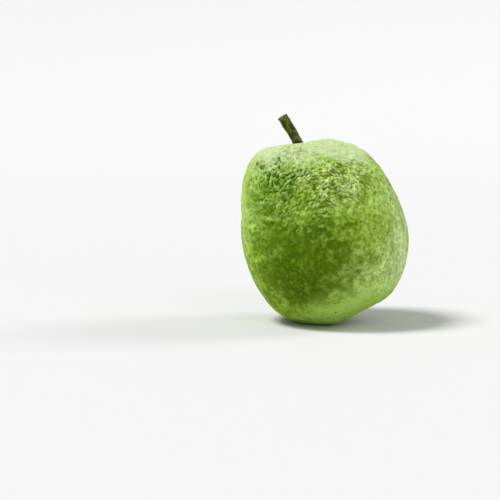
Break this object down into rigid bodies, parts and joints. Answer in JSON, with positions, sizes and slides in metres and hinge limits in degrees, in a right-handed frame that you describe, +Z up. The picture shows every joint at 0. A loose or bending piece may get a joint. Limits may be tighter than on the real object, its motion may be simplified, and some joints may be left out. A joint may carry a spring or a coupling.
{
  "type": "guava",
  "caption": "Whole guava with wrinkled green skin, a short bent stalk standing in its hollow and a dried calyx at the other end, resting on a small flat spot.",
  "frame": {"origin": "on the surface that the fruit rests on, under the middle of the box round the whole object", "axes": "+Z up; +X to the right of the picture's view, the side that the stalk leans away from; -Y the front, towards the picture's camera"},
  "size_m": [0.0836, 0.0824, 0.1035],
  "materials": {
    "skin": "satin green fruit skin, wrinkled and knobbly, with a faint pale bloom",
    "stalk_bark": "dull dark olive bark with small specks",
    "dry_calyx": "dull dry brown sepals"
  },
  "bodies": {
    "root": {"guava_fruit": "skin", "stem": "stalk_bark", "calyx": "dry_calyx"}
  },
  "joints": []
}
